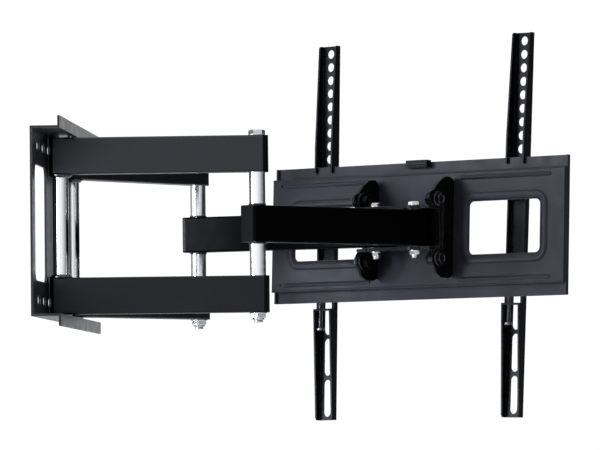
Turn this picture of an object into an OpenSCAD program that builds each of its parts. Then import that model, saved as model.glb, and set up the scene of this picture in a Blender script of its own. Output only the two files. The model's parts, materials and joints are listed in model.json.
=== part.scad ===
// Full motion wall mount for a flat screen: wall plate, two pairs of hinged arms,
// swivel bracket, tilting plate and two sliding brackets. Millimetres, +Z up.
// Origin: centre of the wall plate's back face, wall at +Y, arms reach to -Y.

/* [Wall plate] */
// Width along the wall
plate_w = 410; // [380:5:440]
// Height over the two flanges
plate_h = 202; // [202:1:202]
// Depth of the flanges in front of the wall
plate_d = 32; // [30:1:40]
// Height of the lips at the front edge of the flanges
lip_h = 10.5; // [6:0.5:14]
// Sheet thickness of the wall plate
plate_t = 2.5; // [2.5:0.5:3]

/* [Arms] */
// Distance between the two wall pivots
pivot_gap = 110; // [100:2:120]
// Distance of the wall pivots from the wall
pivot_off = 16; // [16:0.5:18]
// Upper arm length, pivot to pivot
arm_len = 214; // [210:1:220]
// Forearm length, pivot to pivot
fore_len = 227; // [224:1:230]
// Height of an arm tube
tube_h = 40; // [40:1:40]
// Width of an arm tube
tube_w = 20; // [18:1:20]
// Free height between the stacked tubes
stack_gap = 36; // [36:1:36]
// Diameter of the bright spacer tubes
spacer_d = 17.5; // [16:0.5:18.5]

/* [Pose] */
// Direction of the near upper arm in plan
near_arm_dir = -90; // [-94:1:-88]
// Direction of the near forearm in plan
near_fore_dir = -46; // [-48:1:-44]
// Turn of the head about the vertical
head_yaw = 54; // [52:1:56]
// Tilt of the screen plate, face down
tilt_rest = 2.5; // [0:0.5:5]

/* [Head] */
// Distance between the two head pivots
head_gap = 55; // [53:1:57]
// Distance between the outer faces of the tilt cheeks
cheek_span = 110; // [110:1:114]
// Height of the lock bolts above the tilt axis
lock_rise = 66; // [64:1:67]

/* [Screen plate] */
// Width of the screen plate
pan_w = 416; // [404:2:420]
// Height of its raised face
pan_h = 128; // [126:1:128]
// Height of the rails above and below the face
rail_h = 13; // [12:0.5:13]
// Width of each window
win_w = 99; // [90:1:102]
// Height of each window
win_h = 59; // [50:1:62]

/* [Screen brackets] */
// Distance from the centre line to the left bracket
left_x = 138; // [110:0.5:180]
// Distance from the centre line to the right bracket
right_x = 133.5; // [110:0.5:180]
// Lean of the left bracket on its rails
left_lean = -0.5; // [-1.5:0.1:1.5]
// Lean of the right bracket on its rails
right_lean = 1.1; // [-1.5:0.1:1.5]
// Width of a bracket's web
bracket_w = 25; // [24:1:27]
// Top of the brackets
bracket_top = 216; // [210:1:220]
// Bottom of the brackets
bracket_bottom = -210; // [-214:1:-208]
// Number of round holes in a bracket
hole_count = 9; // [6:1:9]
// Pitch of the round holes
hole_pitch = 15; // [14:0.5:15]

/* [Hidden] */
$fn = 48;

// Colours
black_coat = "#1b1b1e";
black_plastic = "#131314";
bright_zinc = "#c9cacd";
vial_green = "#b9d94a";

// Small play between pieces that move against each other, face to face
play = 0.3;
// Radial play of a pin in its bore
run_fit = 0.08;
// Radial play of the far forearm on its head bolt, the loosest pivot
loose_fit = 1.4;

// Heights of the arm stack
mid_top = tube_h / 2;
low_top = mid_top + stack_gap;
stack_top = low_top + tube_h;
flange_in = plate_h / 2 - plate_t;

// Radii of pins and bolts
wall_pin_r = 6;
elbow_r = 5;
head_r = 4;
head_nut_af = 11;
head_hex_h = 4.5;
tilt_r = 4;
lock_r = 2.5;

// Tube section
tube_t = 2;
tube_corner = 2;
arm_end = 7;
nose_r = 12.5;
fore_end = 11.5;
cap_t = 3.5;
plug_len = 2.5;

// Washers
bush_t = 3.5;
bush_r = 12.8;
nylon_t = 1.5;
nylon_r = 9.5;

// Head, measured from the line of the head pivots
sheet = 3;
ear_out = cheek_span / 2 - sheet - play;
web_y = -17;
flange_y = 5.5;
tilt_y = -7;
tilt_z = -34.5;
face_y = -33.5;
pan_t = 2;
rail_y = face_y - 8;
pan_back = rail_y - pan_t;
lobe_r = 10.9;
spine_y = -26;
flange_t = 3.5;
flange_z = mid_top + play + 1;

// Brackets, measured in the same way
web_back = pan_back - 8;
lip_y = web_back + 13.5;
end_y = web_back + 8;
behind_y = pan_back - 0.4;
rail_top = pan_h / 2 + rail_h;
hook_play = 0.7;
tab_z = -84;
screw_x = 5;
screw_y = rail_y - pan_t / 2;

// Plan of the arms: the near arm and head are set by the pose, the far arm closes the loop
function dir(a) = [cos(a), sin(a)];
near_wall = [-pivot_gap / 2, -pivot_off];
far_wall = [pivot_gap / 2, -pivot_off];
near_elbow = near_wall + arm_len * dir(near_arm_dir);
near_head = near_elbow + fore_len * dir(near_fore_dir);
far_head = near_head + head_gap * dir(head_yaw);
head_mid = (near_head + far_head) / 2;
reach = far_head - far_wall;
reach_len = norm(reach);
reach_cos = (reach_len * reach_len + arm_len * arm_len - fore_len * fore_len) / (2 * reach_len * arm_len);
far_arm_dir = atan2(reach[1], reach[0]) + acos(reach_cos);
far_elbow = far_wall + arm_len * dir(far_arm_dir);
far_fore_dir = atan2(far_head[1] - far_elbow[1], far_head[0] - far_elbow[0]);

// ---------- helpers ----------

// Rectangle with round corners, centred, made of squares and circles
module round_rect(w, h, r) {
  square([w - 2 * r, h], center = true);
  square([w, h - 2 * r], center = true);
  for (sx = [-1, 1], sy = [-1, 1])
    translate([sx * (w / 2 - r), sy * (h / 2 - r)]) circle(r);
}

// Slot with round ends along X, centred
module slot_2d(length, width) {
  square([length - width, width], center = true);
  for (s = [-1, 1]) translate([s * (length - width) / 2, 0]) circle(width / 2);
}

// Ring from z0 to z1
module ring(r_out, r_in, z0, z1) {
  translate([0, 0, z0]) difference() {
    cylinder(r = r_out, h = z1 - z0);
    translate([0, 0, -1]) cylinder(r = r_in, h = z1 - z0 + 2);
  }
}

// Hexagon bar from z0 to z1 across flats af
module hex(af, z0, z1) {
  translate([0, 0, z0]) cylinder(r = af / 2 / cos(30), h = z1 - z0, $fn = 6);
}

// Sheet in a plane across X from x0, its outline drawn as [y, z]
module across_x(x0, thick) {
  translate([x0, 0, 0]) rotate([90, 0, 90]) linear_extrude(thick) children();
}

// Sheet in a plane across Y from y0 toward -Y, its outline drawn as [x, z]
module across_y(y0, thick) {
  translate([0, y0, 0]) rotate([90, 0, 0]) linear_extrude(thick) children();
}

// Places a piece that is drawn along +X from a pivot
module at(pivot, angle = 0) {
  translate([pivot[0], pivot[1], 0]) rotate([0, 0, angle]) children();
}

// Places the head's pieces
module on_head() {
  at(head_mid, head_yaw) children();
}

// Places the pieces that tilt
module on_tilt() {
  on_head() translate([0, tilt_y, tilt_z]) rotate([tilt_rest, 0, 0])
    translate([0, -tilt_y, -tilt_z]) children();
}

// ---------- arm pieces ----------

// Rectangular tube from pivot to pivot with a bore at each end, over = overhang before the first
module beam(length, over, z0, r_a, r_b) {
  difference() {
    translate([-over, 0, z0 + tube_h / 2]) rotate([90, 0, 90])
      linear_extrude(over + length + arm_end) difference() {
        round_rect(tube_w, tube_h, tube_corner);
        square([tube_w - 2 * tube_t, tube_h - 2 * tube_t], center = true);
      }
    translate([0, 0, z0 - 1]) cylinder(r = r_a, h = tube_h + 2);
    translate([length, 0, z0 - 1]) cylinder(r = r_b, h = tube_h + 2);
  }
}

// Flat plug-in cap for the tube end at the first pivot
module flat_cap(z0) {
  translate([-fore_end - cap_t, 0, z0 + tube_h / 2]) rotate([90, 0, 90]) {
    linear_extrude(cap_t) round_rect(tube_w, tube_h, tube_corner);
    linear_extrude(cap_t + plug_len)
      square([tube_w - 2 * tube_t, tube_h - 2 * tube_t], center = true);
  }
}

// Round nose for the tube end at the first pivot, centred on the pivot so that it clears the wall
module nose_cap(z0) {
  translate([0, 0, z0]) linear_extrude(tube_h) intersection() {
    circle(nose_r);
    translate([-2 * nose_r, -tube_w / 2]) square([2 * nose_r - arm_end, tube_w]);
  }
}

// Places a cap at the tube end at the second pivot
module far_end(length) {
  translate([length, 0, 0]) mirror([1, 0, 0]) children();
}

module upper_beam() {
  beam(arm_len, arm_end, low_top, wall_pin_r + run_fit, elbow_r);
}

module lower_beam() {
  beam(arm_len, arm_end, -stack_top, wall_pin_r + run_fit, elbow_r);
}

module beam_caps() {
  for (z = [low_top, -stack_top]) {
    nose_cap(z);
    far_end(arm_len) nose_cap(z);
  }
}

module wall_spacer() {
  ring(spacer_d / 2, wall_pin_r + run_fit, bush_t - low_top, low_top - bush_t);
}

module wall_bushes() {
  for (m = [0, 1]) mirror([0, 0, m])
    ring(bush_r, wall_pin_r + run_fit, low_top - bush_t, low_top);
}

module elbow_bolt() {
  translate([arm_len, 0, 0]) {
    translate([0, 0, -stack_top - 11]) cylinder(r = elbow_r, h = 2 * stack_top + 11);
    hex(16, stack_top, stack_top + 6);
  }
}

module elbow_nut() {
  translate([arm_len, 0, 0]) difference() {
    union() {
      hex(16, -stack_top - 8.5, -stack_top);
      ring(9.5, elbow_r, -stack_top - 1.2, -stack_top);
    }
    translate([0, 0, -stack_top - 9]) cylinder(r = elbow_r, h = 10);
  }
}

module elbow_spacers() {
  translate([arm_len, 0, 0]) for (m = [0, 1]) mirror([0, 0, m])
    ring(spacer_d / 2, elbow_r, mid_top + play + nylon_t, low_top);
}

module elbow_washers() {
  translate([arm_len, 0, 0]) for (m = [0, 1]) mirror([0, 0, m])
    ring(nylon_r, elbow_r, mid_top + play, mid_top + play + nylon_t);
}

module sleeve(r_in) {
  ring(6.9, r_in, tube_t - mid_top, mid_top - tube_t);
}

module forearm(r_head) {
  beam(fore_len, fore_end, -mid_top, elbow_r + run_fit, r_head);
}

module forearm_caps() {
  flat_cap(-mid_top);
  far_end(fore_len) nose_cap(-mid_top);
}

module forearm_sleeves(r_head) {
  sleeve(elbow_r + run_fit);
  translate([fore_len, 0, 0]) sleeve(r_head);
}

// ---------- wall plate ----------

wall_slots = [48, 98, 148];
wall_slot_len = 26;
wall_slot_z = 82.5;
wall_win_w = 108;
wall_win_h = 124;
wall_win_x = 126;

module wall_plate() color(black_coat) difference() {
  union() {
    across_y(0, plate_t) square([plate_w, plate_h], center = true);
    for (m = [0, 1]) mirror([0, 0, m]) {
      translate([-plate_w / 2, -plate_d, flange_in]) cube([plate_w, plate_d, plate_t]);
      translate([-plate_w / 2, -plate_d, flange_in]) cube([plate_w, plate_t, plate_t + lip_h]);
    }
  }
  across_y(1, plate_t + 2) for (s = [-1, 1]) {
    translate([s * wall_win_x, 0]) round_rect(wall_win_w, wall_win_h, 12);
    for (x = wall_slots, t = [-1, 1])
      translate([s * x, t * wall_slot_z]) slot_2d(wall_slot_len, 9);
  }
  for (p = [near_wall, far_wall]) at(p)
    translate([0, 0, -plate_h]) cylinder(r = wall_pin_r, h = 2 * plate_h);
}

module wall_pin() color(bright_zinc)
  translate([0, 0, -plate_h / 2]) cylinder(r = wall_pin_r, h = plate_h);

module near_wall_pin() at(near_wall) wall_pin();
module far_wall_pin() at(far_wall) wall_pin();

module wall_thrust_washers() color(bright_zinc)
  for (p = [near_wall, far_wall], m = [0, 1]) at(p) mirror([0, 0, m])
    ring(12, wall_pin_r, stack_top + play, flange_in);

// ---------- near arm ----------

module near_arm() {
  at(near_wall, near_arm_dir) children();
}

module near_upper_beam() color(black_coat) near_arm() upper_beam();
module near_lower_beam() color(black_coat) near_arm() lower_beam();
module near_wall_spacer() color(bright_zinc) near_arm() wall_spacer();
module near_wall_bushes() color(black_plastic) near_arm() wall_bushes();
module near_elbow_bolt() color(bright_zinc) near_arm() elbow_bolt();
module near_elbow_nut() color(bright_zinc) near_arm() elbow_nut();
module near_elbow_spacers() color(bright_zinc) near_arm() elbow_spacers();
module near_elbow_washers() color(black_plastic) near_arm() elbow_washers();
module near_beam_caps() color(black_plastic) near_arm() beam_caps();

// ---------- far arm ----------

module far_arm() {
  at(far_wall, far_arm_dir) children();
}

module far_upper_beam() color(black_coat) far_arm() upper_beam();
module far_lower_beam() color(black_coat) far_arm() lower_beam();
module far_wall_spacer() color(bright_zinc) far_arm() wall_spacer();
module far_wall_bushes() color(black_plastic) far_arm() wall_bushes();
module far_elbow_bolt() color(bright_zinc) far_arm() elbow_bolt();
module far_elbow_nut() color(bright_zinc) far_arm() elbow_nut();
module far_elbow_spacers() color(bright_zinc) far_arm() elbow_spacers();
module far_elbow_washers() color(black_plastic) far_arm() elbow_washers();
module far_beam_caps() color(black_plastic) far_arm() beam_caps();

// ---------- forearms ----------

near_bore = head_r + run_fit;
far_bore = head_r + loose_fit;

module near_forearm() color(black_coat) at(near_elbow, near_fore_dir) forearm(near_bore);
module far_forearm() color(black_coat) at(far_elbow, far_fore_dir) forearm(far_bore);

module near_forearm_sleeves() color(bright_zinc)
  at(near_elbow, near_fore_dir) forearm_sleeves(near_bore);

module far_forearm_sleeves() color(bright_zinc)
  at(far_elbow, far_fore_dir) forearm_sleeves(far_bore);

module near_forearm_caps() color(black_plastic)
  at(near_elbow, near_fore_dir) forearm_caps();

module far_forearm_caps() color(black_plastic)
  at(far_elbow, far_fore_dir) forearm_caps();

// ---------- swivel bracket ----------

// Outline of a flange that holds both head pivots
module head_flange_2d() difference() {
  union() {
    translate([-ear_out, web_y]) square([2 * ear_out, flange_y - web_y]);
    translate([-head_gap / 2, web_y]) square([head_gap, 13 - web_y]);
    for (s = [-1, 1]) translate([s * head_gap / 2, 0]) circle(13);
  }
  for (s = [-1, 1]) translate([s * head_gap / 2, 0]) circle(head_r);
}

// Side ear: a spine beside the web and a lobe for each tilt bolt, open between for the forearm
module ear_2d() difference() {
  union() {
    translate([spine_y, tilt_z]) square([web_y + sheet - spine_y, lock_rise]);
    for (z = [tilt_z, tilt_z + lock_rise]) translate([tilt_y, z]) circle(lobe_r);
    translate([spine_y, flange_z]) square([tilt_y - spine_y, 8]);
    translate([spine_y, tilt_z]) square([tilt_y - spine_y, 10]);
  }
  for (z = [tilt_z, tilt_z + lock_rise]) translate([tilt_y, z]) circle(tilt_r);
}

module swivel_bracket() color(black_coat) on_head() {
  translate([-ear_out, web_y, -flange_z]) cube([2 * ear_out, sheet, 2 * flange_z]);
  for (m = [0, 1]) mirror([0, 0, m])
    translate([0, 0, flange_z]) linear_extrude(flange_t) head_flange_2d();
  for (x = [-ear_out, ear_out - sheet]) across_x(x, sheet) ear_2d();
}

flange_top = flange_z + flange_t;

module head_bolts() color(bright_zinc) on_head()
  for (s = [-1, 1]) translate([s * head_gap / 2, 0, 0]) {
    translate([0, 0, -flange_top - 9]) cylinder(r = head_r, h = 2 * flange_top + 9);
    hex(head_nut_af + 1, flange_top, flange_top + head_hex_h);
  }

module head_nuts() color(bright_zinc) on_head()
  for (s = [-1, 1]) translate([s * head_gap / 2, 0, 0]) difference() {
    hex(head_nut_af, -flange_top - 7, -flange_top);
    translate([0, 0, -flange_top - 8]) cylinder(r = head_r, h = 9);
  }

module head_washers() color(black_plastic) on_head()
  for (s = [-1, 1], m = [0, 1]) translate([s * head_gap / 2, 0, 0]) mirror([0, 0, m])
    ring(10, head_r, mid_top + play, flange_z);

// Places a fastener on each tilt bolt axis, its +Z pointing outward
module on_tilt_bolts() {
  on_head() for (s = [0, 1], z = [tilt_z, tilt_z + lock_rise]) mirror([s, 0, 0])
    translate([0, tilt_y, z]) rotate([0, 90, 0]) children();
}

module tilt_bolts() color(bright_zinc) on_tilt_bolts() {
  translate([0, 0, ear_out - sheet - 8])
    cylinder(r = tilt_r, h = cheek_span / 2 + play - ear_out + sheet + 8);
  ring(8.5, 1, cheek_span / 2 + play, cheek_span / 2 + play + 1.5);
  hex(12, cheek_span / 2 + play, cheek_span / 2 + play + 6);
}

module tilt_nuts() color(bright_zinc) on_tilt_bolts() difference() {
  rotate(30) hex(13, ear_out - sheet - 6.5, ear_out - sheet);
  translate([0, 0, ear_out - sheet - 7]) cylinder(r = tilt_r, h = 8);
}

// ---------- screen plate ----------

win_x = 125.5;
dimple_x = 194;
dimple_r = 2.2;
dimple_deep = 1.2;
rib_z = 56.5;
rib_in = 64;
rib_out = 189;
bead_in = 3;
bead_out = 8;
bead_h = 1.6;
stop_d = 5;

module window_2d(grow = 0) {
  for (s = [-1, 1]) translate([s * win_x, 0])
    round_rect(win_w + 2 * grow, win_h + 2 * grow, 6 + grow);
}

module screen_plate() color(black_coat) on_tilt() difference() {
  union() {
    across_y(face_y, pan_t) square([pan_w, pan_h], center = true);
    for (m = [0, 1]) mirror([0, 0, m]) {
      translate([-pan_w / 2, pan_back, pan_h / 2 - pan_t]) cube([pan_w, face_y - pan_back, pan_t]);
      translate([-pan_w / 2, pan_back, pan_h / 2 - pan_t]) cube([pan_w, pan_t, rail_h + pan_t]);
      for (x = [rib_in, -rib_out]) translate([x, face_y - 0.8, rib_z]) rotate([0, 90, 0])
        cylinder(r = 2, h = rib_out - rib_in);
    }
    for (x = [-pan_w / 2, pan_w / 2 - pan_t]) {
      translate([x, pan_back, -pan_h / 2]) cube([pan_t, face_y - pan_back, pan_h]);
      translate([x, pan_back, -rail_top]) cube([pan_t, stop_d, 2 * rail_top]);
    }
    across_y(face_y + bead_h, bead_h + 0.5) difference() {
      window_2d(bead_out);
      window_2d(bead_in);
    }
  }
  across_y(face_y + 5, pan_t + 10) window_2d();
  across_y(face_y + 1, dimple_deep + 1)
    for (s = [-1, 1]) translate([dimple_x, s * rib_z]) circle(dimple_r);
}

// ---------- tilt cheeks ----------

slot_lo = -5;
slot_hi = 10;
slot_r = tilt_r + play;
notch = 19;

// Outline of a cheek as [y, z], with y measured from the plate's face
module cheek_2d() {
  polygon([
    [0, -51], [4.5, -54.5], [9, -55.5], [22, -55.5], [29, -52], [34.5, -42], [34.5, -27], [31, -24],
    [notch, -24], [notch, 24], [37, 24], [37, 41], [31, 47.5], [26, 52], [20, 56], [14.5, 57.5],
    [7, 57.5], [2.5, 55], [0, 50]
  ]);
  translate([37, tilt_z + lock_rise + 1]) circle(8.2);
  translate([tilt_y - face_y, tilt_z]) circle(12);
}

// Curved slot for the lock bolt, centred on the tilt axis
module arc_slot_2d() {
  for (a = [slot_lo, slot_hi]) rotate(-a) translate([0, lock_rise]) circle(slot_r);
  intersection() {
    difference() {
      circle(lock_rise + slot_r, $fn = 96);
      circle(lock_rise - slot_r, $fn = 96);
    }
    polygon([[0, 0], 100 * [sin(slot_lo), cos(slot_lo)], 100 * [sin(slot_hi), cos(slot_hi)]]);
  }
}

module cheek(x0) color(black_coat) on_tilt() {
  across_x(x0, sheet) difference() {
    translate([face_y, 0]) cheek_2d();
    translate([tilt_y, tilt_z]) circle(tilt_r + run_fit);
    translate([tilt_y, tilt_z]) arc_slot_2d();
  }
}

module left_cheek() cheek(cheek_span / 2 - sheet);
module right_cheek() cheek(-cheek_span / 2);

// ---------- bubble level ----------

level_w = 30;
level_low = 70.5;
level_h = 8.5;
vial_r = 2.6;
vial_z = level_low + level_h / 2;
level_front = rail_y + 8;

module level_body() color(black_plastic) on_tilt() difference() {
  translate([-level_w / 2, rail_y, level_low]) cube([level_w, 8, level_h]);
  translate([-13, level_front - 2.2, vial_z]) rotate([0, 90, 0]) cylinder(r = vial_r, h = 26);
}

module level_vial() color(vial_green) on_tilt()
  translate([-13, level_front - 2.2, vial_z]) rotate([0, 90, 0]) cylinder(r = vial_r, h = 26);

// ---------- screen brackets ----------

// Side outline of a bracket as [y, z], with the hook over the top rail
module bracket_side_2d() {
  polygon([
    [web_back, bracket_bottom], [end_y - 2, bracket_bottom], [end_y, bracket_bottom + 3],
    [lip_y, tab_z - 2], [lip_y, tab_z], [behind_y, tab_z],
    [behind_y, rail_top + hook_play], [rail_y + play, rail_top + hook_play],
    [rail_y + play, rail_top - 7], [lip_y, rail_top - 7], [lip_y, 100],
    [end_y, bracket_top - 2], [end_y - 2, bracket_top], [web_back, bracket_top]
  ]);
}

slot_len = 42;
slot_w = 10.5;
slot_pitch = 46.5;

// Places a bracket and its screw, hung on the rails at x with a lean a
module on_rails(x, a) {
  on_tilt() translate([x, 0, 0]) rotate([0, -a, 0]) children();
}

module bracket() color(black_coat) {
  difference() {
    translate([-bracket_w / 2, web_back, bracket_bottom])
      cube([bracket_w, pan_t, bracket_top - bracket_bottom]);
    across_y(web_back + pan_t + 1, pan_t + 2) {
      for (i = [0 : hole_count - 1])
        translate([0, bracket_top - 9 - i * hole_pitch]) circle(5);
      for (i = [0 : 2])
        translate([0, bracket_bottom + 4 + slot_len / 2 + i * slot_pitch])
          rotate(90) slot_2d(slot_len, slot_w);
    }
  }
  for (x0 = [-bracket_w / 2, bracket_w / 2 - pan_t]) across_x(x0, pan_t) bracket_side_2d();
  difference() {
    translate([-bracket_w / 2 + pan_t, web_back + pan_t, tab_z - pan_t])
      cube([bracket_w - 2 * pan_t, lip_y - web_back - pan_t, pan_t]);
    translate([screw_x, screw_y, tab_z - 5]) cylinder(r = lock_r + run_fit, h = 10);
  }
}

module left_bracket() on_rails(left_x, left_lean) bracket();
module right_bracket() on_rails(-right_x, right_lean) bracket();

// Safety screw that comes up under the lower rail
screw_tip = -rail_top - 0.4;
screw_len = 28;
screw_head_h = 3.5;

module lock_screw() color(bright_zinc)
  translate([screw_x, screw_y, screw_tip - screw_len]) {
    cylinder(r = lock_r, h = screw_len);
    difference() {
      translate([0, 0, -screw_head_h]) cylinder(r = 4.5, h = screw_head_h);
      for (a = [0, 90]) rotate(a)
        translate([-2.5, -0.5, -screw_head_h - 1]) cube([5, 1, 2.5]);
    }
  }

module left_lock_screw() on_rails(left_x, left_lean) lock_screw();
module right_lock_screw() on_rails(-right_x, right_lean) lock_screw();

// ---------- drawing ----------

wall_plate();
near_wall_pin();
far_wall_pin();
wall_thrust_washers();
near_upper_beam();
near_lower_beam();
near_wall_spacer();
near_wall_bushes();
near_elbow_bolt();
near_elbow_nut();
near_elbow_spacers();
near_elbow_washers();
near_beam_caps();
far_upper_beam();
far_lower_beam();
far_wall_spacer();
far_wall_bushes();
far_elbow_bolt();
far_elbow_nut();
far_elbow_spacers();
far_elbow_washers();
far_beam_caps();
near_forearm();
near_forearm_sleeves();
near_forearm_caps();
far_forearm();
far_forearm_sleeves();
far_forearm_caps();
swivel_bracket();
head_bolts();
head_nuts();
head_washers();
tilt_bolts();
tilt_nuts();
screen_plate();
left_cheek();
right_cheek();
level_body();
level_vial();
left_bracket();
right_bracket();
left_lock_screw();
right_lock_screw();
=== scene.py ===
"""Looks of the full motion wall mount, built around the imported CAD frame. Metres, +Z up, wall at +Y."""

import math
import json

import bmesh
import bpy
from mathutils import Matrix, Vector


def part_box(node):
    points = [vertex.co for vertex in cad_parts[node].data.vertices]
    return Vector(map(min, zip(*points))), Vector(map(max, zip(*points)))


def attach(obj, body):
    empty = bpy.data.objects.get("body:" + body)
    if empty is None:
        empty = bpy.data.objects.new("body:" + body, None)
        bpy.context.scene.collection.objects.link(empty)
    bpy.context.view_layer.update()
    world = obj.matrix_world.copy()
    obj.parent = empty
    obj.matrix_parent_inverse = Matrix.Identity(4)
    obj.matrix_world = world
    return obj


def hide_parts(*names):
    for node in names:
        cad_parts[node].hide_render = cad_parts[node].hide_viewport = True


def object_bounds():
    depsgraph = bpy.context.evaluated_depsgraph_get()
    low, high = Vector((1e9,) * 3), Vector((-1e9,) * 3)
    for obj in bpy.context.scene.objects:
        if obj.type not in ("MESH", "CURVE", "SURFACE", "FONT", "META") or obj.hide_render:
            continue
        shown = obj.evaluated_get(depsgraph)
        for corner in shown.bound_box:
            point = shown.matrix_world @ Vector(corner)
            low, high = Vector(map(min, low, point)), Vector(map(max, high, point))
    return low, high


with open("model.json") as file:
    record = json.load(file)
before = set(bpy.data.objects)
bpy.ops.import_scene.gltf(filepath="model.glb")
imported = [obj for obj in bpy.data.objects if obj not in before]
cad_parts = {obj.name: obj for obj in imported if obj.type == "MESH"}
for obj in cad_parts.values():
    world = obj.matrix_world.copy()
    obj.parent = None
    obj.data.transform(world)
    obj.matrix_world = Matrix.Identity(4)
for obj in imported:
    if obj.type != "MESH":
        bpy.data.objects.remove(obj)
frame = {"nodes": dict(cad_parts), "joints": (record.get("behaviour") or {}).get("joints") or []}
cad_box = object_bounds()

MM = 0.001
NODES = frame["nodes"]
JOINTS = {joint["name"]: joint for joint in frame["joints"]}
SCENE = bpy.context.scene
TURN = 2 * math.pi


# ---------- materials ----------


class Shader:
    """A material with one Principled shader and short ways to add nodes to it."""

    def __init__(self, name, color, metallic, roughness, seed):
        self.material = bpy.data.materials.new(name)
        self.material.use_nodes = True
        self.tree = self.material.node_tree
        self.bsdf = self.tree.nodes["Principled BSDF"]
        self.bsdf.inputs["Base Color"].default_value = (*color, 1)
        self.bsdf.inputs["Metallic"].default_value = metallic
        self.bsdf.inputs["Roughness"].default_value = roughness
        place = self.tree.nodes.new("ShaderNodeTexCoord")
        shift = self.tree.nodes.new("ShaderNodeMapping")
        shift.inputs["Location"].default_value = (0.37 * seed, 0.61 * seed, 0.23 * seed)
        self.link(place.outputs["Object"], shift.inputs["Vector"])
        self.place = shift.outputs["Vector"]

    def link(self, source, target):
        self.tree.links.new(source, target)

    def squeezed(self, scale):
        """Object coordinates scaled along each axis, for grain with a direction."""
        node = self.tree.nodes.new("ShaderNodeMapping")
        node.inputs["Scale"].default_value = scale
        self.link(self.place, node.inputs["Vector"])
        return node.outputs["Vector"]

    def noise(self, scale, detail=2.0, place=None):
        node = self.tree.nodes.new("ShaderNodeTexNoise")
        node.inputs["Scale"].default_value = scale
        node.inputs["Detail"].default_value = detail
        self.link(place or self.place, node.inputs["Vector"])
        return node.outputs["Fac"]

    def spread(self, source, low, high, to_low, to_high):
        """Maps source from low..high to to_low..to_high, held at both ends."""
        node = self.tree.nodes.new("ShaderNodeMapRange")
        for key, value in (("From Min", low), ("From Max", high), ("To Min", to_low), ("To Max", to_high)):
            node.inputs[key].default_value = value
        self.link(source, node.inputs["Value"])
        return node.outputs["Result"]

    def times(self, source, other):
        node = self.tree.nodes.new("ShaderNodeMath")
        node.operation = "MULTIPLY"
        self.link(source, node.inputs[0])
        self.link(other, node.inputs[1])
        return node.outputs["Value"]

    def edges(self, radius, low, high):
        """1 on sharp edges and corners, 0 on flat faces: how far a rounded normal leaves the true one."""
        rounded = self.tree.nodes.new("ShaderNodeBevel")
        rounded.samples = 4
        rounded.inputs["Radius"].default_value = radius
        surface = self.tree.nodes.new("ShaderNodeNewGeometry")
        agree = self.tree.nodes.new("ShaderNodeVectorMath")
        agree.operation = "DOT_PRODUCT"
        self.link(rounded.outputs["Normal"], agree.inputs[0])
        self.link(surface.outputs["Normal"], agree.inputs[1])
        return self.spread(agree.outputs["Value"], low, high, 1, 0)

    def tint(self, factor, color_a, color_b):
        node = self.tree.nodes.new("ShaderNodeMix")
        node.data_type = "RGBA"
        node.inputs["A"].default_value = (*color_a, 1)
        node.inputs["B"].default_value = (*color_b, 1)
        self.link(factor, node.inputs["Factor"])
        return node.outputs["Result"]

    def layer(self, factor, below, color):
        node = self.tree.nodes.new("ShaderNodeMix")
        node.data_type = "RGBA"
        node.inputs["B"].default_value = (*color, 1)
        self.link(below, node.inputs["A"])
        self.link(factor, node.inputs["Factor"])
        return node.outputs["Result"]

    def bump(self, height, strength, distance, below=None):
        node = self.tree.nodes.new("ShaderNodeBump")
        node.inputs["Strength"].default_value = strength
        node.inputs["Distance"].default_value = distance
        self.link(height, node.inputs["Height"])
        if below:
            self.link(below, node.inputs["Normal"])
        return node.outputs["Normal"]

    def set(self, key, source):
        self.link(source, self.bsdf.inputs[key])


def scaled(color, factor):
    return tuple(channel * factor for channel in color)


def powder_coat(name, color, roughness, gloss, grain, edge_wear_and_highlight_color, seed):
    """Baked powder coat: orange peel, fine sand texture, cloudy gloss, a few dust specks, and lighter
    edges: partly coat worn thin, partly a painted highlight.
    """
    shader = Shader(name, color, 0.0, roughness, seed)
    shader.bsdf.inputs["Specular IOR Level"].default_value = gloss
    cloud = shader.noise(14, 3)
    peel = shader.noise(420, 2)
    sand = shader.noise(1900, 2)
    specks = shader.spread(shader.noise(700, 1), 0.73, 0.78, 0, 1)
    coat = shader.tint(shader.spread(cloud, 0.35, 0.65, 0, 1), scaled(color, 0.8), scaled(color, 1.25))
    coat = shader.layer(specks, coat, scaled(color, 4))
    patchy = shader.spread(cloud, 0.3, 0.6, 0.35, 1)
    # Lighter colour along sharp edges: partly coat worn thin, partly a painted highlight standing in for
    # edge glints
    edge_wear_and_highlight = shader.times(shader.edges(0.9 * MM, 0.80, 0.985), patchy)
    shader.set("Base Color", shader.layer(edge_wear_and_highlight, coat, edge_wear_and_highlight_color))
    mottle = shader.noise(60, 4)
    shader.set("Roughness", shader.spread(mottle, 0.3, 0.7, roughness - 0.05, roughness + 0.06))
    fine = shader.bump(sand, grain, 0.00005)
    shader.set("Normal", shader.bump(peel, 0.5 * grain, 0.00014, fine))
    return shader.material


def turned_steel(name, color, roughness, seed):
    """Bright steel tube, upright: faint turning rings and soft smears along it."""
    shader = Shader(name, color, 1.0, roughness, seed)
    rings = shader.noise(1, 2, shader.squeezed((18, 18, 260)))
    smears = shader.noise(1, 3, shader.squeezed((120, 120, 14)))
    shader.set("Base Color", shader.tint(smears, scaled(color, 0.95), scaled(color, 1.02)))
    shader.set("Roughness", shader.spread(rings, 0.3, 0.7, roughness - 0.03, roughness + 0.04))
    shader.set("Normal", shader.bump(smears, 0.04, 0.00004))
    return shader.material


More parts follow.
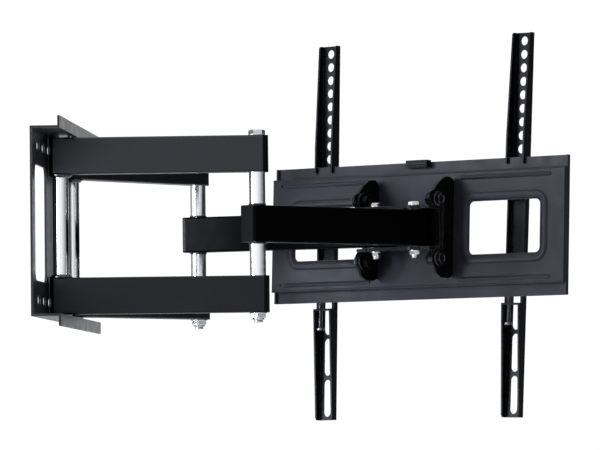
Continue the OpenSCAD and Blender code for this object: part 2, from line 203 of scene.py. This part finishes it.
def zinc(name, color, roughness, seed):
    """Zinc plating: cloudy crystals, uneven gloss, and corners rubbed lighter."""
    shader = Shader(name, color, 1.0, roughness, seed)
    cast = shader.spread(shader.noise(130, 3), 0.35, 0.65, 0, 1)
    plated = shader.tint(cast, scaled(color, 0.86), color)
    worn = shader.edges(0.4 * MM, 0.85, 0.99)
    shader.set("Base Color", shader.layer(worn, plated, scaled(color, 1.12)))
    gloss = shader.noise(420, 3)
    shader.set("Roughness", shader.spread(gloss, 0.3, 0.7, roughness - 0.05, roughness + 0.07))
    shader.set("Normal", shader.bump(shader.noise(600, 2), 0.12, 0.00003))
    return shader.material


def moulded(name, color, roughness, gloss, seed):
    """Moulded plastic with a fine spark-eroded texture."""
    shader = Shader(name, color, 0.0, roughness, seed)
    shader.bsdf.inputs["Specular IOR Level"].default_value = gloss
    shader.set("Base Color", shader.tint(shader.noise(90, 3), scaled(color, 0.8), scaled(color, 1.3)))
    sheen = shader.noise(300, 3)
    shader.set("Roughness", shader.spread(sheen, 0.3, 0.7, roughness - 0.06, roughness + 0.06))
    shader.set("Normal", shader.bump(shader.noise(1500, 2), 0.2, 0.00004))
    return shader.material


def vial(name, color, seed):
    """Clear tube of dark tinted spirit."""
    shader = Shader(name, color, 0.0, 0.05, seed)
    shader.set("Base Color", shader.tint(shader.noise(70, 1), scaled(color, 0.7), color))
    shader.bsdf.inputs["IOR"].default_value = 1.4
    shader.bsdf.inputs["Specular IOR Level"].default_value = 0.25
    shader.bsdf.inputs["Coat Weight"].default_value = 0.1
    shader.bsdf.inputs["Coat Roughness"].default_value = 0.04
    return shader.material


# The last colour of each coat is its lighter edge colour: partly worn coat, partly painted highlight
PLATE_COAT = powder_coat(
    "plate_coat", (0.0095, 0.0095, 0.0145), 0.38, 0.22, 0.45, (0.045, 0.046, 0.054), 1
)
WALL_COAT = powder_coat(
    "wall_coat", (0.0032, 0.0032, 0.0040), 0.34, 0.38, 0.35, (0.10, 0.10, 0.105), 13
)
BEAM_COAT = powder_coat(
    "beam_coat", (0.0024, 0.0025, 0.0066), 0.33, 0.48, 0.30, (0.020, 0.020, 0.022), 2
)
# Painted shade: the lower beams wear a darker, less glossy copy of the beam coat
SHADED_LOW_BEAM_COAT = powder_coat(
    "shaded_low_beam_coat", (0.0018, 0.0018, 0.0044), 0.33, 0.26, 0.30, (0.016, 0.016, 0.018), 16
)
# Painted shade: the forearms' coat is made near black, darker than the other coats, to stand in for the
# dark they reflect
SHADED_FOREARM_COAT = powder_coat(
    "shaded_forearm_coat", (0.0003, 0.0003, 0.0005), 0.30, 0.02, 0.30, (0.010, 0.010, 0.011), 14
)
HEAD_COAT = powder_coat(
    "head_coat", (0.0007, 0.0007, 0.0009), 0.28, 0.18, 0.35, (0.075, 0.075, 0.080), 3
)
# Painted shade: the brackets' coat is darkened beyond the other coats to stand in for the shade on them
SHADED_BRACKET_COAT = powder_coat(
    "shaded_bracket_coat", (0.0012, 0.0012, 0.0026), 0.30, 0.11, 0.40, (0.050, 0.050, 0.055), 4
)
SPACER_STEEL = turned_steel("spacer_steel", (0.86, 0.865, 0.885), 0.16, 5)
CHROME = turned_steel("chrome_tube", (0.88, 0.88, 0.89), 0.07, 15)
SLEEVE_STEEL = turned_steel("sleeve_steel", (0.62, 0.62, 0.63), 0.36, 6)
BRIGHT_ZINC = zinc("bright_zinc", (0.66, 0.66, 0.67), 0.16, 7)
GREY_ZINC = zinc("grey_zinc", (0.17, 0.17, 0.18), 0.22, 20)
DARK_ZINC = zinc("black_zinc", (0.060, 0.060, 0.063), 0.20, 8)
# Painted shade: a darker, duller copy of the black zinc for the tilt nuts, so their facets reflect less
# light
SHADED_DULL_ZINC = zinc("shaded_dull_black_zinc", (0.012, 0.012, 0.013), 0.40, 17)
CAP_PLASTIC = moulded("cap_plastic", (0.0006, 0.0006, 0.0008), 0.34, 0.10, 9)
WASHER_NYLON = moulded("washer_nylon", (0.0012, 0.0012, 0.0014), 0.30, 0.4, 10)
BUSH_PLASTIC = moulded("bush_plastic", (0.0012, 0.0012, 0.0014), 0.12, 1.0, 18)
VIAL = vial("vial_spirit", (0.010, 0.014, 0.004), 11)


# ---------- finish of the CAD pieces ----------


def finish(names, material, edge=0.0):
    """Gives CAD nodes their material, and rounds their sharp edges by edge metres."""
    for name in names:
        piece = NODES[name]
        piece.data.materials.clear()
        piece.data.materials.append(material)
        if edge:
            merge = piece.modifiers.new("flat_faces", "DECIMATE")
            merge.decimate_type = "DISSOLVE"
            merge.angle_limit = math.radians(0.3)
            bevel = piece.modifiers.new("soft_edges", "BEVEL")
            bevel.width = edge
            bevel.segments = 2
            bevel.limit_method = "ANGLE"
            bevel.angle_limit = math.radians(35)
            bevel.use_clamp_overlap = False
            bevel.harden_normals = True


SIDES = ("near", "far")
finish(["wall_plate"], WALL_COAT, 0.6 * MM)
finish(["screen_plate"], PLATE_COAT, 0.45 * MM)
finish(["swivel_bracket", "left_cheek", "right_cheek"], HEAD_COAT, 0.5 * MM)
finish(["left_bracket", "right_bracket"], SHADED_BRACKET_COAT, 0.4 * MM)
for side in SIDES:
    finish([side + "_upper_beam"], BEAM_COAT)
    finish([side + "_lower_beam"], SHADED_LOW_BEAM_COAT)
    finish([side + "_forearm"], SHADED_FOREARM_COAT)
    finish([side + "_beam_caps", side + "_forearm_caps"], CAP_PLASTIC, 0.6 * MM)
    finish([side + "_elbow_spacers"], SPACER_STEEL, 0.4 * MM)
    finish([side + "_wall_spacer"], CHROME, 0.4 * MM)
    finish([side + "_forearm_sleeves"], SLEEVE_STEEL)
    finish([side + "_elbow_washers"], WASHER_NYLON, 0.3 * MM)
    finish([side + "_wall_pin"], BRIGHT_ZINC, 0.3 * MM)
finish(["head_washers"], WASHER_NYLON, 0.3 * MM)
finish(["wall_thrust_washers"], BRIGHT_ZINC, 0.3 * MM)
finish(["tilt_nuts"], SHADED_DULL_ZINC, 0.4 * MM)
finish(["level_body"], CAP_PLASTIC, 0.8 * MM)
finish(["level_vial"], VIAL)


# ---------- mesh making ----------


class Mesh:
    """Gathers the parts of one piece. A part is a pair of vertex and face lists."""

    def __init__(self):
        self.vertices = []
        self.faces = []

    def add(self, part, matrix=Matrix()):
        vertices, faces = part
        first = len(self.vertices)
        self.vertices += [matrix @ vertex for vertex in vertices]
        self.faces += [tuple(first + index for index in face) for face in faces]

    def piece(self, name, material, body, slot, replaces=()):
        mesh = bpy.data.meshes.new(name)
        mesh.from_pydata(self.vertices, [], self.faces)
        tidy = bmesh.new()
        tidy.from_mesh(mesh)
        bmesh.ops.recalc_face_normals(tidy, faces=tidy.faces)
        tidy.to_mesh(mesh)
        tidy.free()
        mesh.polygons.foreach_set("use_smooth", [True] * len(mesh.polygons))
        mesh.set_sharp_from_angle(angle=math.radians(28))
        mesh.materials.append(material)
        piece = bpy.data.objects.new(name, mesh)
        SCENE.collection.objects.link(piece)
        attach(piece, body)
        for node in replaces:
            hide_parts(node)


def skin(rings, closed=False):
    """Faces over rings of points, with flat ends, or joined last to first when closed."""
    count = len(rings[0])
    vertices = [point for ring in rings for point in ring]
    faces = []
    for row in range(len(rings) if closed else len(rings) - 1):
        here, there = row * count, (row + 1) % len(rings) * count
        for step in range(count):
            after = (step + 1) % count
            faces.append((here + step, here + after, there + after, there + step))
    if not closed:
        faces.append(tuple(range(count - 1, -1, -1)))
        faces.append(tuple(range(len(vertices) - count, len(vertices))))
    return vertices, faces


def revolve(profile, shape=None, closed=False, sides=48):
    """Turns a profile of (radius, height) about Z; shape(angle, radius, height) may change the radius."""
    rings = []
    for radius, height in profile:
        ring = []
        for step in range(sides):
            angle = TURN * step / sides
            out = shape(angle, radius, height) if shape else radius
            ring.append(Vector((out * math.cos(angle), out * math.sin(angle), height)))
        rings.append(ring)
    return skin(rings, closed)


def hexagon(across):
    """Cuts a turned shape to a hexagon, so that its round chamfers leave curved corners."""

    def shape(angle, radius, _height):
        within = (angle + TURN / 12) % (TURN / 6) - TURN / 12
        return min(radius, across / 2 / math.cos(within))

    return shape


def chamfer_rows(across, start, end, steps=4):
    """Profile of a hexagon's chamfered end, from its full corner at start to a face at end."""
    corner, face = across / 2 / math.cos(TURN / 12), 0.94 * across / 2
    slope = math.copysign(math.tan(TURN / 12) * (corner - face), end - start)
    rows = [(corner, start)]
    for step in range(steps + 1):
        part = step / steps
        rows.append((corner + (face - corner) * part, end - slope * (1 - part)))
    return rows


def thread(radius, pitch, low, high, rows_per_turn=6, sides=24):
    """A screw thread from low to high, as a solid core with a helical ridge."""
    count = round((high - low) / pitch * rows_per_turn)
    depth = 0.55 * pitch

    def shape(angle, outer, height):
        part = (height / pitch - angle / TURN) % 1
        fade = min(1, (height - low) / pitch, (high - height) / pitch)
        return outer - depth * abs(2 * part - 1) * max(0, fade)

    profile = [(0.72 * radius, low - 0.3 * pitch), (0.9 * radius, low)]
    profile += [(radius, low + (high - low) * row / count) for row in range(count + 1)]
    return revolve(profile, shape, sides=sides)


def ring_part(inner, outer, low, high, soft):
    """Flat washer with softened edges."""
    profile = [
        (inner, low), (outer - soft, low), (outer, low + soft), (outer, high - soft),
        (outer - soft, high), (inner, high),
    ]
    return revolve(profile, closed=True)


def hex_bolt_head(across, height, washer_out, washer_h):
    """Head that sits on z = 0: a pressed flange and a chamfered hexagon with a shallow dish on top."""
    low, dish = 0.6 * washer_h, 0.34 * across
    rows = [(0.3 * across, low)] + chamfer_rows(across, low, height)
    rows += [(dish, height), (0.8 * dish, height - 0.06 * across), (0.1 * dish, height - 0.07 * across)]
    flange = [
        (0.3 * across, 0), (washer_out - 0.3 * MM, 0), (washer_out, 0.3 * MM), (washer_out, 0.6 * washer_h),
        (washer_out - 0.8 * MM, washer_h), (0.3 * across, 1.3 * washer_h),
    ]
    return revolve(rows, hexagon(across)), revolve(flange)


def lock_nut(across, height, bore, flange_out):
    """Nut that sits on z = 0: flange, hexagon chamfered both ends, and the rolled collar of a lock nut."""
    body, flange_h = 0.72 * height, 1.2 * MM
    rows = [(bore, 0.4 * MM)] + chamfer_rows(across, flange_h, body)
    collar = 0.80 * across / 2
    rows += [
        (collar, body), (collar, 0.88 * height), (0.93 * collar, 0.97 * height),
        (0.8 * collar, height), (bore, height),
    ]
    flange = ring_part(bore, flange_out, 0, flange_h, 0.35 * MM)
    return revolve(rows, hexagon(across), closed=True), flange


def along(origin, axis, turn=0.0):
    """Puts a part that is drawn on +Z at origin, pointing along axis."""
    aim = axis.to_track_quat("Z", "Y").to_matrix().to_4x4()
    return Matrix.Translation(origin) @ aim @ Matrix.Rotation(turn, 4, "Z")


def node_end(name, axis):
    """Centre of the face of a CAD node that lies furthest along axis."""
    points = [vertex.co for vertex in NODES[name].data.vertices]
    furthest = max(point.dot(axis) for point in points)
    face = [point for point in points if point.dot(axis) > furthest - 0.01 * MM]
    return sum(face, Vector()) / len(face)


UP = Vector((0, 0, 1))


# ---------- elbow bolts and nuts ----------

ELBOW_AF = 16 * MM
ELBOW_HEAD_H = 6 * MM
ELBOW_NUT_H = 8.5 * MM
ELBOW_R = 5 * MM
ELBOW_THREAD = 24 * MM
ELBOW_PITCH = 1.5 * MM
ELBOW_FLANGE_R, ELBOW_FLANGE_H = 9.2 * MM, 1.4 * MM
ELBOW_NUT_FLANGE_R = 9.5 * MM


def make_elbow_bolt(side):
    top = node_end(side + "_elbow_bolt", UP)
    bottom = node_end(side + "_elbow_bolt", -UP)
    seat = top.z - ELBOW_HEAD_H - bottom.z
    bolt = Mesh()
    for part in hex_bolt_head(ELBOW_AF, ELBOW_HEAD_H, ELBOW_FLANGE_R, ELBOW_FLANGE_H):
        bolt.add(part, along(bottom + UP * seat, UP, 0.2))
    shank = [(ELBOW_R, ELBOW_THREAD - 1 * MM), (ELBOW_R, seat + 1 * MM)]
    bolt.add(revolve(shank), Matrix.Translation(bottom))
    end = thread(ELBOW_R, ELBOW_PITCH, 0.5 * MM, ELBOW_THREAD, sides=36)
    bolt.add(end, Matrix.Translation(bottom))
    bolt.piece(
        side + "_elbow_bolt_detail", BRIGHT_ZINC, side + "_arm", "fastener_zinc", [side + "_elbow_bolt"],
    )
    nut = Mesh()
    seat_at = Vector((bottom.x, bottom.y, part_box(side + "_elbow_nut")[1].z))
    for part in lock_nut(ELBOW_AF, ELBOW_NUT_H, ELBOW_R, ELBOW_NUT_FLANGE_R):
        nut.add(part, along(seat_at, -UP, 0.5))
    nut.piece(
        side + "_elbow_nut_detail", BRIGHT_ZINC, side + "_arm", "fastener_zinc", [side + "_elbow_nut"],
    )


for side in SIDES:
    make_elbow_bolt(side)


# ---------- head bolts and nuts ----------

HEAD_AF = 12 * MM
HEAD_NUT_AF = 11 * MM
HEAD_HEX_H = 4.5 * MM
HEAD_NUT_H = 7 * MM
HEAD_R = 4 * MM
HEAD_THREAD = 20 * MM
HEAD_PITCH = 1.25 * MM
HEAD_FLANGE_R, HEAD_FLANGE_H = 6.9 * MM, 1.1 * MM
HEAD_NUT_FLANGE_R = 6.6 * MM


def make_head_bolts():
    low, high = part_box("head_bolts")
    near = Vector(JOINTS["near_head_pivot"]["pos_m"])
    centre = (low + high) / 2
    seat, nut_seat = high.z - HEAD_HEX_H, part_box("head_nuts")[1].z
    bolts, nuts = Mesh(), Mesh()
    for index, spot in enumerate((near, 2 * centre - near)):
        turn = 0.3 + 0.5 * index
        for part in hex_bolt_head(HEAD_AF, HEAD_HEX_H, HEAD_FLANGE_R, HEAD_FLANGE_H):
            bolts.add(part, along(Vector((spot.x, spot.y, seat)), UP, turn))
        foot = Vector((spot.x, spot.y, low.z))
        shank = [(HEAD_R, HEAD_THREAD - 1 * MM), (HEAD_R, seat - low.z + 1 * MM)]
        bolts.add(revolve(shank), Matrix.Translation(foot))
        end = thread(HEAD_R, HEAD_PITCH, 0.5 * MM, HEAD_THREAD, sides=36)
        bolts.add(end, Matrix.Translation(foot))
        for part in lock_nut(HEAD_NUT_AF, HEAD_NUT_H, HEAD_R, HEAD_NUT_FLANGE_R):
            nuts.add(part, along(Vector((spot.x, spot.y, nut_seat)), -UP, 1 - turn))
    bolts.piece("head_bolts_detail", BRIGHT_ZINC, "head", "fastener_zinc", ["head_bolts"])
    nuts.piece("head_nuts_detail", BRIGHT_ZINC, "head", "fastener_zinc", ["head_nuts"])


make_head_bolts()


# ---------- tilt bolts ----------

TILT_AF = 12 * MM
TILT_HEX_H = 6 * MM
TILT_R = 4 * MM
TILT_WASHER_R, TILT_WASHER_H = 8.5 * MM, 1.5 * MM
TILT_AXIS = Vector(JOINTS["tilt"]["axis"])
TILT_AT = Vector(JOINTS["tilt"]["pos_m"])


def make_tilt_bolts():
    """Two bolts on each side: the pivot below and the lock bolt above, in black flanged heads."""
    points = [vertex.co for vertex in NODES["tilt_bolts"].data.vertices]
    reach = max((point - TILT_AT).dot(TILT_AXIS) for point in points)
    inner = min(abs((point - TILT_AT).dot(TILT_AXIS)) for point in points)
    low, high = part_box("tilt_bolts")
    rise = high.z - low.z - 2 * TILT_WASHER_R
    seat = reach - TILT_HEX_H
    bolts = Mesh()
    for index, (way, lift) in enumerate(((1, 0), (1, rise), (-1, 0), (-1, rise))):
        axis = way * TILT_AXIS
        place = along(TILT_AT + lift * UP + seat * axis, axis, 0.4 * index)
        for part in hex_bolt_head(TILT_AF, TILT_HEX_H, TILT_WASHER_R, TILT_WASHER_H):
            bolts.add(part, place)
        bolts.add(revolve([(TILT_R, inner - seat), (TILT_R, 1 * MM)]), place)
    bolts.piece("tilt_bolts_detail", DARK_ZINC, "head", "fastener_black", ["tilt_bolts"])


make_tilt_bolts()


# ---------- lock screws ----------

LOCK_R = 2.5 * MM
LOCK_HEAD_R = 4.5 * MM
LOCK_HEAD_H = 3.5 * MM
SOCKET_AF = 3.6 * MM
SOCKET_OUT = 2.2 * MM


def make_lock_screw(side):
    axis = Vector(JOINTS[side + "_lock"]["axis"])
    tip = node_end(side + "_lock_screw", axis)
    foot = node_end(side + "_lock_screw", -axis)
    length = (tip - foot).length
    screw = Mesh()
    place = along(tip - axis * length, axis)
    head = [
        (0.5 * MM, 1.9 * MM), (2.0 * MM, 1.8 * MM), (2.05 * MM, 0.2 * MM), (2.3 * MM, 0),
        (LOCK_HEAD_R - 1.2 * MM, 0), (LOCK_HEAD_R - 0.35 * MM, 0.35 * MM), (LOCK_HEAD_R, 1.2 * MM),
        (LOCK_HEAD_R, LOCK_HEAD_H - 0.3 * MM), (LOCK_HEAD_R - 0.3 * MM, LOCK_HEAD_H), (LOCK_R, LOCK_HEAD_H),
    ]
    socket = hexagon(SOCKET_AF)

    def cut(angle, radius, height):
        return socket(angle, radius, height) if radius < SOCKET_OUT else radius

    screw.add(revolve(head, cut), place)
    flipped = along(tip, -axis)
    screw.add(thread(LOCK_R, 0.8 * MM, 0.4 * MM, length - LOCK_HEAD_H + 0.3 * MM), flipped)
    screw.piece(
        side + "_lock_screw_detail", GREY_ZINC, side + "_screw", "fastener_zinc", [side + "_lock_screw"],
    )


for side in ("left", "right"):
    make_lock_screw(side)


# ---------- wall pivot bushes ----------

BUSH_BORE = 6.1 * MM


def make_wall_bushes(side):
    """Glossy domed washers where the bright tube meets the beams."""
    low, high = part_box(side + "_wall_bushes")
    spot = Vector(JOINTS[side + "_wall_pivot"]["pos_m"])
    outer = (high.x - low.x) / 2
    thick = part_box(side + "_wall_spacer")[0].z - low.z
    bushes, inner = Mesh(), BUSH_BORE
    for level, axis in ((high.z, -UP), (low.z, UP)):
        profile = [
            (inner, 0), (outer - 0.4 * MM, 0), (outer, 0.4 * MM), (outer, 0.28 * thick),
            (outer - 0.4 * MM, 0.4 * thick),
        ]
        for step in range(7):
            angle = TURN / 4 * step / 6
            profile.append((
                outer - 1.4 * MM - 2.6 * MM * (1 - math.cos(angle)), (0.4 + 0.6 * math.sin(angle)) * thick,
            ))
        profile.append((inner, thick))
        bushes.add(revolve(profile, closed=True), along(Vector((spot.x, spot.y, level)), axis))
    bushes.piece(
        side + "_wall_bushes_detail", BUSH_PLASTIC, side + "_arm", "black_plastic", [side + "_wall_bushes"],
    )


for side in SIDES:
    make_wall_bushes(side)


# ---------- pressed beads of the screen plate ----------

REST_TILT = math.radians(2.5)
# From the tilt axis to the middle of the head, which the plate's sizes are measured from
TILT_TO_MIDDLE = Vector((0, 7, 34.5)) * MM
FACE_Y = -33.5 * MM
WINDOW_X, WINDOW_W, WINDOW_H, WINDOW_R = 125.5 * MM, 99 * MM, 59 * MM, 6 * MM
RIB_IN, RIB_OUT, RIB_Z = 63 * MM, 190 * MM, 56.5 * MM
BEAD_OFFSET, BEAD_HALF_W, BEAD_H = 5.5 * MM, 4.8 * MM, 1.8 * MM
RIB_HALF_W, RIB_H = 2.6 * MM, 0.8 * MM
HEAD_Y = UP.cross(TILT_AXIS)
PLATE_Y = math.cos(REST_TILT) * HEAD_Y + math.sin(REST_TILT) * UP
PLATE_Z = TILT_AXIS.cross(PLATE_Y)
PLATE = (
    Matrix.Translation(TILT_AT) @ Matrix((TILT_AXIS, PLATE_Y, PLATE_Z)).transposed().to_4x4()
    @ Matrix.Translation(TILT_TO_MIDDLE)
)


def half_round(half_width, height, steps=12):
    """Closed section of a bead as (outward, up) pairs, sunk a little below the surface."""
    arc = [TURN / 2 * step / steps for step in range(steps + 1)]
    section = [(half_width * math.cos(angle), height * math.sin(angle)) for angle in arc]
    return section + [(-half_width, -0.4 * MM), (half_width, -0.4 * MM)]


def window_bead(centre_x, offset, half_width, height, corner_steps=8):
    """A bead swept round one window, offset outward from its edge."""
    radius = WINDOW_R + offset
    across, up = WINDOW_W / 2 + offset - radius, WINDOW_H / 2 + offset - radius
    rings = []
    for quarter, (sx, sz) in enumerate(((1, 1), (-1, 1), (-1, -1), (1, -1))):
        for step in range(corner_steps + 1):
            angle = TURN / 4 * (quarter + step / corner_steps)
            way = Vector((math.cos(angle), 0, math.sin(angle)))
            middle = Vector((centre_x + sx * across, FACE_Y, sz * up)) + radius * way
            section = half_round(half_width, height)
            rings.append([middle + out * way + Vector((0, rise, 0)) for out, rise in section])
    return skin(rings, closed=True)


def long_rib(start, end, level, half_width, height, end_steps=6):
    """A straight bead along X with ball ends."""
    stations = []
    for step in range(1, end_steps + 1):
        angle = TURN / 4 * step / end_steps
        stations.append((start + half_width * (1 - math.cos(angle)), math.sin(angle)))
    stations += [(start + end - place, size) for place, size in reversed(stations)]
    rings = []
    for place, size in stations:
        section = half_round(half_width * size, height * size)
        rings.append([Vector((place, FACE_Y + rise, level + out)) for out, rise in section])
    return skin(rings)


beads = Mesh()
for sign in (-1, 1):
    beads.add(window_bead(sign * WINDOW_X, BEAD_OFFSET, BEAD_HALF_W, BEAD_H), PLATE)
    for level in (-RIB_Z, RIB_Z):
        start, end = sorted((sign * RIB_IN, sign * RIB_OUT))
        beads.add(long_rib(start, end, level, RIB_HALF_W, RIB_H), PLATE)
beads.piece("pressed_beads", PLATE_COAT, "screen", "coated_plate")

# Rounded folds along the plate's top and bottom, where its face turns back to the rails
PLATE_W, FACE_H = 416 * MM, 128 * MM
FOLD_R, FOLD_SUNK = 1.5 * MM, 1.1 * MM
folds = Mesh()
for sign in (-1, 1):
    middle = Vector((0, FACE_Y - FOLD_SUNK, sign * (FACE_H / 2 - FOLD_SUNK)))
    rings = []
    turns = [TURN * step / 16 for step in range(16)]
    circle = [Vector((0, FOLD_R * math.cos(turn), FOLD_R * math.sin(turn))) for turn in turns]
    for place in (-PLATE_W / 2 + 0.2 * MM, PLATE_W / 2 - 0.2 * MM):
        rings.append([middle + Vector((place, 0, 0)) + point for point in circle])
    folds.add(skin(rings), PLATE)
folds.piece("plate_folds", PLATE_COAT, "screen", "coated_plate")


# ---------- camera ----------

# A long lens, looking slightly up from a little below the mount's lower edge
CAMERA_AT = Vector((-5.914, -0.660, -0.248))
CAMERA_YAW = math.radians(3.749)
CAMERA_PITCH = math.radians(2.40)
CAMERA_ROLL = math.radians(-0.58)
LENS_MM = 325.9


def make_camera():
    data = bpy.data.cameras.new("camera")
    data.lens = LENS_MM
    data.clip_end = 60
    camera = bpy.data.objects.new("camera", data)
    SCENE.collection.objects.link(camera)
    forward = Vector((
        math.cos(CAMERA_PITCH) * math.cos(CAMERA_YAW),
        math.cos(CAMERA_PITCH) * math.sin(CAMERA_YAW),
        math.sin(CAMERA_PITCH),
    ))
    level_right = Vector((math.sin(CAMERA_YAW), -math.cos(CAMERA_YAW), 0))
    level_up = level_right.cross(forward)
    right = math.cos(CAMERA_ROLL) * level_right + math.sin(CAMERA_ROLL) * level_up
    up = math.cos(CAMERA_ROLL) * level_up - math.sin(CAMERA_ROLL) * level_right
    turn = Matrix((right, up, -forward)).transposed().to_4x4()
    camera.matrix_world = Matrix.Translation(CAMERA_AT) @ turn
    SCENE.camera = camera


# ---------- studio ----------

FLOOR_BELOW = 0.12
# Brightness of the studio by compass direction: a wide soft light ahead and to the left, a white
# backdrop behind the object, and dark between. Degrees from the camera's side, left positive
SOFT_LIGHT, SOFT_LIGHT_TURN, SOFT_LIGHT_WIDTH = 1.15, 25, 145
BACKDROP, BACKDROP_TURN, BACKDROP_WIDTH = 0.95, 180, 45
DARK = 0.04
RING_STEP = 15
# Going up, the ring gives way to an even sky, starting at this rise of the direction
SKY_BRIGHT = 0.95
SKY_FROM = 0.35
# Lamps, from what they point at: one above the whole mount, one near the plate's left end at rest
TOP_LIGHT_FROM = Vector((-0.4, 0.3, 1.6))
LEFT_LIGHT_FROM = Vector((-0.30, 0.45, 0.0))
LEFT_LIGHT_SPREAD = 70


def lobe(turn, middle, width):
    """1 at the middle, falling smoothly to 0 at width degrees from it."""
    off = abs((turn - middle + 180) % 360 - 180)
    return (1 + math.cos(math.pi * min(off / width, 1))) / 2


def studio_brightness(turn):
    soft = SOFT_LIGHT * lobe(turn, SOFT_LIGHT_TURN, SOFT_LIGHT_WIDTH)
    return DARK + soft + BACKDROP * lobe(turn, BACKDROP_TURN, BACKDROP_WIDTH)


def make_world():
    """Soft studio all round: brightness by direction for light, plain white where it is seen."""
    world = bpy.data.worlds.new("studio")
    SCENE.world = world
    world.use_nodes = True
    tree = world.node_tree
    tree.nodes.clear()

    def add(kind, **values):
        node = tree.nodes.new(kind)
        for key, value in values.items():
            setattr(node, key, value)
        return node

    way = add("ShaderNodeTexCoord")
    split = add("ShaderNodeSeparateXYZ")
    tree.links.new(way.outputs["Generated"], split.inputs["Vector"])
    back = add("ShaderNodeMath", operation="MULTIPLY")
    back.inputs[1].default_value = -1
    tree.links.new(split.outputs["X"], back.inputs[0])
    angle = add("ShaderNodeMath", operation="ARCTAN2")
    tree.links.new(split.outputs["Y"], angle.inputs[0])
    tree.links.new(back.outputs["Value"], angle.inputs[1])
    part = add("ShaderNodeMapRange")
    part.inputs["From Min"].default_value = -math.pi
    part.inputs["From Max"].default_value = math.pi
    tree.links.new(angle.outputs["Value"], part.inputs["Value"])
    ring = add("ShaderNodeFloatCurve")
    curve = ring.mapping.curves[0]
    turns = range(-180, 181, RING_STEP)
    stops = [((turn + 180) / 360, studio_brightness(turn) / 2) for turn in turns]
    for index, stop in enumerate(stops):
        if index < 2:
            curve.points[index].location = stop
        else:
            curve.points.new(*stop)
    ring.mapping.update()
    tree.links.new(part.outputs["Result"], ring.inputs["Value"])
    high = add("ShaderNodeMapRange", interpolation_type="SMOOTHSTEP")
    high.inputs["From Min"].default_value = SKY_FROM
    high.inputs["From Max"].default_value = 0.95
    high.inputs["To Max"].default_value = 1
    tree.links.new(split.outputs["Z"], high.inputs["Value"])
    mix = add("ShaderNodeMix")
    mix.inputs["B"].default_value = SKY_BRIGHT / 2
    tree.links.new(high.outputs["Result"], mix.inputs["Factor"])
    tree.links.new(ring.outputs["Value"], mix.inputs["A"])
    double = add("ShaderNodeMath", operation="MULTIPLY")
    double.inputs[1].default_value = 2
    tree.links.new(mix.outputs["Result"], double.inputs[0])
    light = add("ShaderNodeBackground")
    light.inputs["Color"].default_value = (0.97, 0.985, 1, 1)
    tree.links.new(double.outputs["Value"], light.inputs["Strength"])
    seen = add("ShaderNodeBackground")
    seen.inputs["Color"].default_value = (1, 1, 1, 1)
    seen.inputs["Strength"].default_value = 1.05
    path = add("ShaderNodeLightPath")
    choose = add("ShaderNodeMixShader")
    tree.links.new(path.outputs["Is Camera Ray"], choose.inputs["Fac"])
    tree.links.new(light.outputs["Background"], choose.inputs[1])
    tree.links.new(seen.outputs["Background"], choose.inputs[2])
    out = add("ShaderNodeOutputWorld")
    tree.links.new(choose.outputs["Shader"], out.inputs["Surface"])


def soft_light(name, at, toward, size, watts, color, spread=180):
    data = bpy.data.lights.new(name, "AREA")
    data.shape = "RECTANGLE"
    data.size, data.size_y = size
    data.energy = watts
    data.spread = math.radians(spread)
    data.color = color
    light = bpy.data.objects.new(name, data)
    SCENE.collection.objects.link(light)
    light.location = at
    light.rotation_euler = (Vector(toward) - Vector(at)).to_track_quat("-Z", "Y").to_euler()


def make_floor():
    low, high = cad_box
    mesh = bpy.data.meshes.new("floor")
    reach, level = 40, low.z - FLOOR_BELOW
    corners = [(x * reach, y * reach, level) for x, y in ((-1, -1), (1, -1), (1, 1), (-1, 1))]
    mesh.from_pydata(corners, [], [(0, 1, 2, 3)])
    floor = bpy.data.objects.new("floor", mesh)
    SCENE.collection.objects.link(floor)
    shader = Shader("floor_paper", (0.86, 0.86, 0.87), 0.0, 0.7, 12)
    shader.set("Roughness", shader.spread(shader.noise(3, 2), 0.3, 0.7, 0.65, 0.75))
    mesh.materials.append(shader.material)


make_camera()
make_world()
make_floor()
middle = (cad_box[0] + cad_box[1]) / 2
soft_light("top_light", middle + TOP_LIGHT_FROM, middle, (1.6, 1.6), 7, (1, 1, 1))
plate_left = PLATE @ Vector((0.16, FACE_Y, 0))
soft_light(
    "left_light", plate_left + LEFT_LIGHT_FROM, plate_left, (0.5, 0.5), 2.2, (0.78, 0.87, 1),
    LEFT_LIGHT_SPREAD,
)

SCENE.view_settings.view_transform = "Standard"
